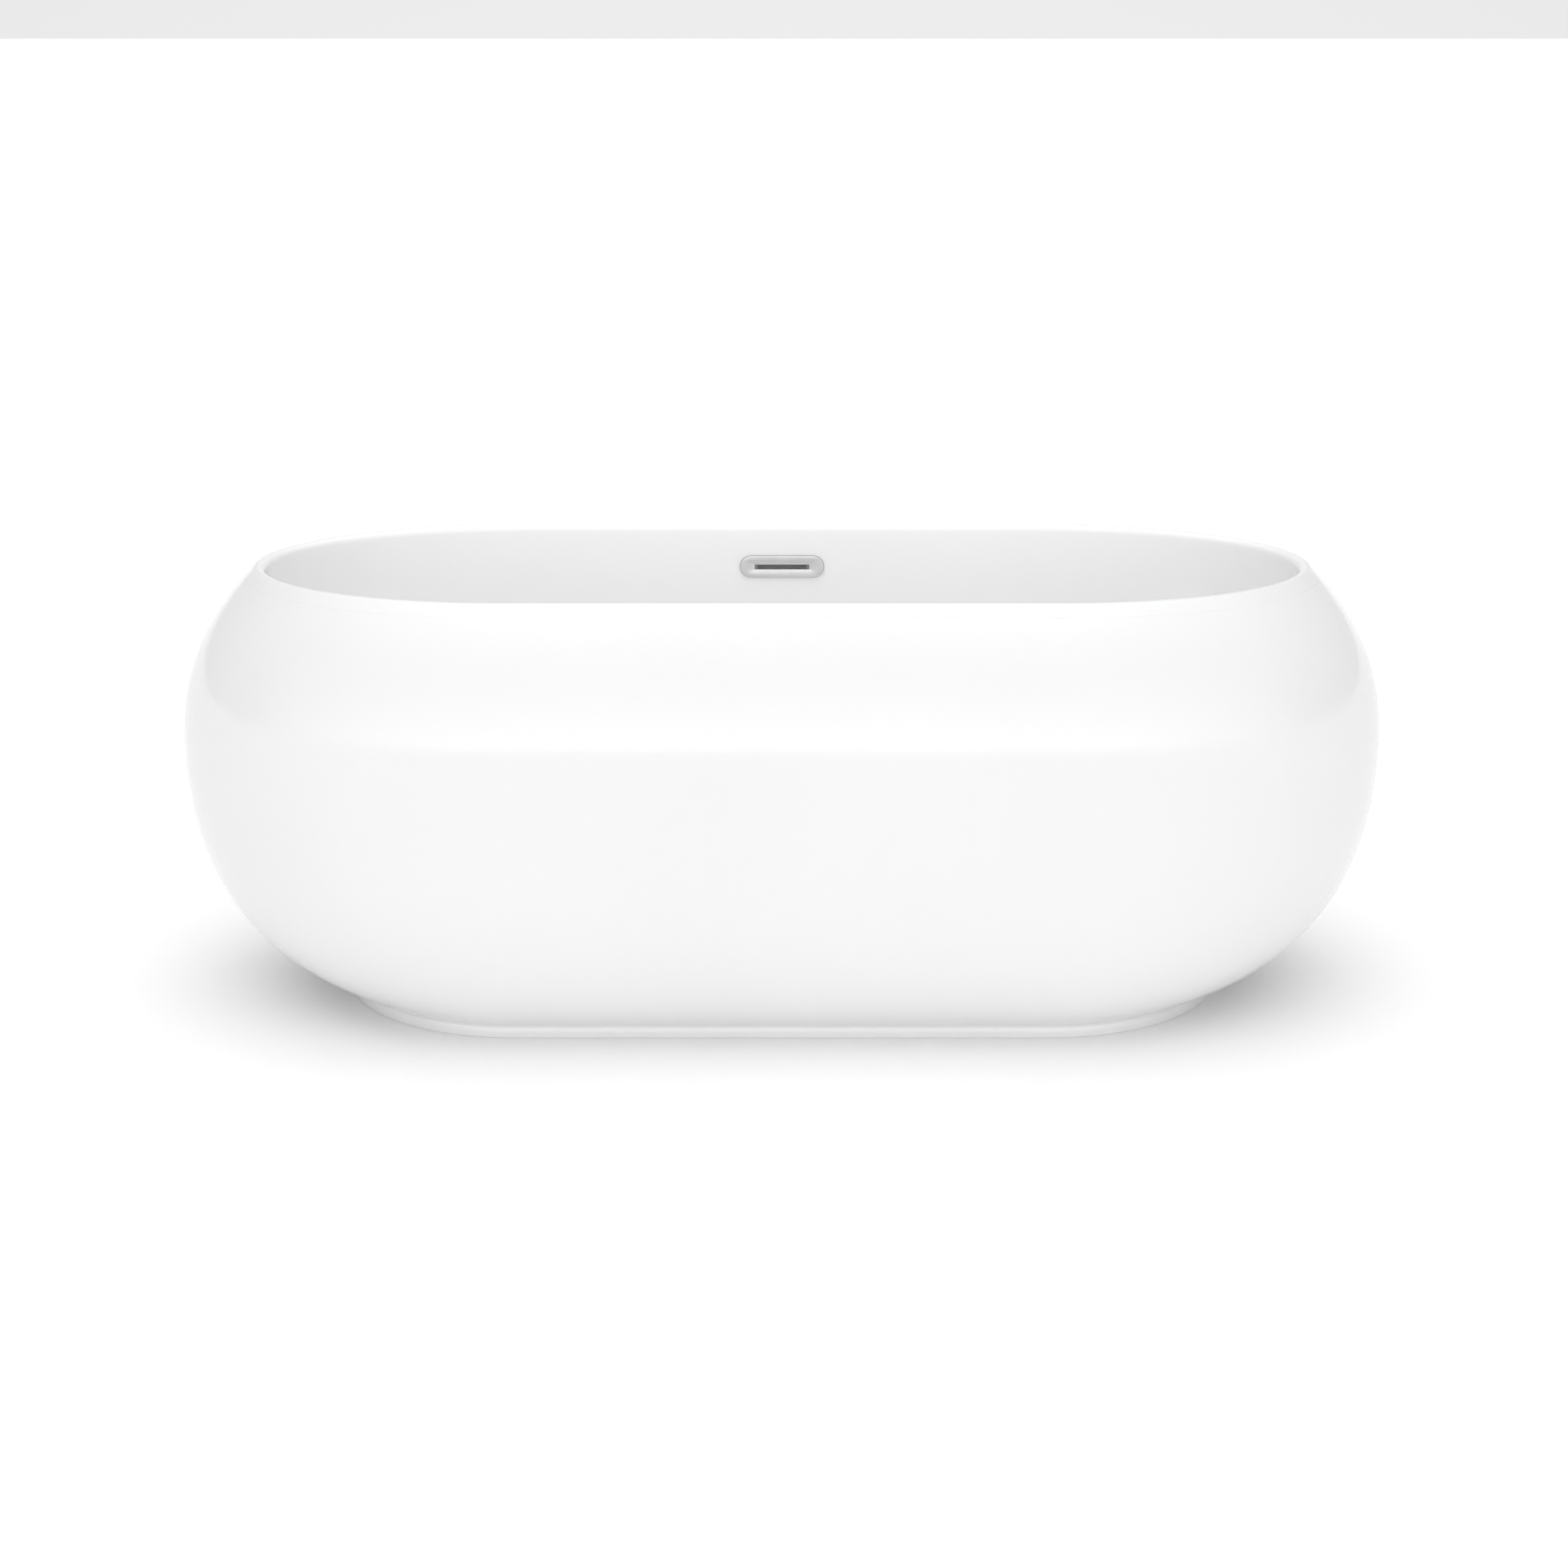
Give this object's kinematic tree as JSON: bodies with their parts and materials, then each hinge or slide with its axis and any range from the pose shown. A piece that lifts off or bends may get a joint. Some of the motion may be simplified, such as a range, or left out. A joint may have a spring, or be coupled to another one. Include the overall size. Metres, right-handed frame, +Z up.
{
  "type": "bathtub",
  "caption": "Freestanding double-ended bathtub: bulging outer skirt on a low plinth, moulded basin, slotted overflow, push-button drain and screw-adjusted feet.",
  "frame": {"origin": "on the floor, under the centre of the tub", "axes": "+X along the tub, +Y towards the long side that carries the overflow, +Z up"},
  "size_m": [1.7, 0.8, 0.61],
  "materials": {
    "skirt_acrylic": "gloss",
    "basin_acrylic": "gloss",
    "adhesive": "matt",
    "plywood": "raw sheet",
    "frame_steel": "grey powder coat",
    "black_plastic": "moulded",
    "zinc": "zinc plated",
    "satin_metal": "satin",
    "rubber": "matt",
    "hose_plastic": "smooth bore hose",
    "chrome": "polished",
    "pale_plastic": "moulded",
    "brass": "machined",
    "pad_plastic": "moulded",
    "grey_plastic": "moulded"
  },
  "bodies": {
    "root": {"outer_skirt": "skirt_acrylic", "inner_basin": "basin_acrylic", "rim_bond": "adhesive", "floor_board": "plywood", "frame_rail_front": "frame_steel", "frame_rail_rear": "frame_steel", "crossbar_left": "frame_steel", "crossbar_mid_left": "frame_steel", "crossbar_mid_right": "frame_steel", "crossbar_right": "frame_steel", "tube_end_caps": "black_plastic", "frame_screws": "zinc", "foot_weld_nuts": "zinc", "foot_lock_nuts": "zinc", "overflow_cover": "satin_metal", "overflow_gasket_front": "rubber", "overflow_gasket_rear": "rubber", "overflow_body": "grey_plastic", "overflow_screws": "zinc", "overflow_hose": "hose_plastic", "hose_clamps": "zinc", "drain_flange": "chrome", "drain_gasket_top": "rubber", "drain_gasket_bottom": "rubber", "drain_washer": "pale_plastic", "drain_lock_nut": "brass", "waste_tee": "black_plastic", "tailpiece": "chrome", "tailpiece_nut": "black_plastic", "tailpiece_washer": "pale_plastic", "stopper_cartridge": "brass", "stopper_spring": "zinc"},
    "stopper": {"stopper_cap": "chrome", "stopper_stem": "brass", "stopper_seal": "rubber"},
    "foot_front_left": {"foot_pad_front_left": "pad_plastic", "foot_sole_front_left": "rubber"},
    "stud_front_left": {"foot_stud_front_left": "zinc"},
    "foot_front_right": {"foot_pad_front_right": "pad_plastic", "foot_sole_front_right": "rubber"},
    "stud_front_right": {"foot_stud_front_right": "zinc"},
    "foot_rear_left": {"foot_pad_rear_left": "pad_plastic", "foot_sole_rear_left": "rubber"},
    "stud_rear_left": {"foot_stud_rear_left": "zinc"},
    "foot_rear_right": {"foot_pad_rear_right": "pad_plastic", "foot_sole_rear_right": "rubber"},
    "stud_rear_right": {"foot_stud_rear_right": "zinc"}
  },
  "joints": [
    {"name": "stopper_lift", "type": "slide", "parent": "root", "child": "stopper", "axis": [0, 0, 1], "range_m": [0, 0.01], "deforming": ["stopper_spring"]},
    {"name": "front_left_height", "type": "slide", "parent": "root", "child": "foot_front_left", "axis": [0, 0, -1], "range_m": [-0.01, 0.015]},
    {"name": "front_left_screw", "type": "hinge", "parent": "foot_front_left", "child": "stud_front_left", "pos_m": [-0.38, -0.19, 0.05], "axis": [0, 0, -1], "range_deg": [-2060, 3090]},
    {"name": "front_right_height", "type": "slide", "parent": "root", "child": "foot_front_right", "axis": [0, 0, -1], "range_m": [-0.01, 0.015]},
    {"name": "front_right_screw", "type": "hinge", "parent": "foot_front_right", "child": "stud_front_right", "pos_m": [0.38, -0.19, 0.05], "axis": [0, 0, -1], "range_deg": [-2060, 3090]},
    {"name": "rear_left_height", "type": "slide", "parent": "root", "child": "foot_rear_left", "axis": [0, 0, -1], "range_m": [-0.01, 0.015]},
    {"name": "rear_left_screw", "type": "hinge", "parent": "foot_rear_left", "child": "stud_rear_left", "pos_m": [-0.38, 0.19, 0.05], "axis": [0, 0, -1], "range_deg": [-2060, 3090]},
    {"name": "rear_right_height", "type": "slide", "parent": "root", "child": "foot_rear_right", "axis": [0, 0, -1], "range_m": [-0.01, 0.015]},
    {"name": "rear_right_screw", "type": "hinge", "parent": "foot_rear_right", "child": "stud_rear_right", "pos_m": [0.38, 0.19, 0.05], "axis": [0, 0, -1], "range_deg": [-2060, 3090]}
  ],
  "couplings": [
    {"joint": "front_left_screw", "follows": "front_left_height", "rad_per_m": 3590.4},
    {"joint": "front_right_screw", "follows": "front_right_height", "rad_per_m": 3590.4},
    {"joint": "rear_left_screw", "follows": "rear_left_height", "rad_per_m": 3590.4},
    {"joint": "rear_right_screw", "follows": "rear_right_height", "rad_per_m": 3590.4}
  ]
}
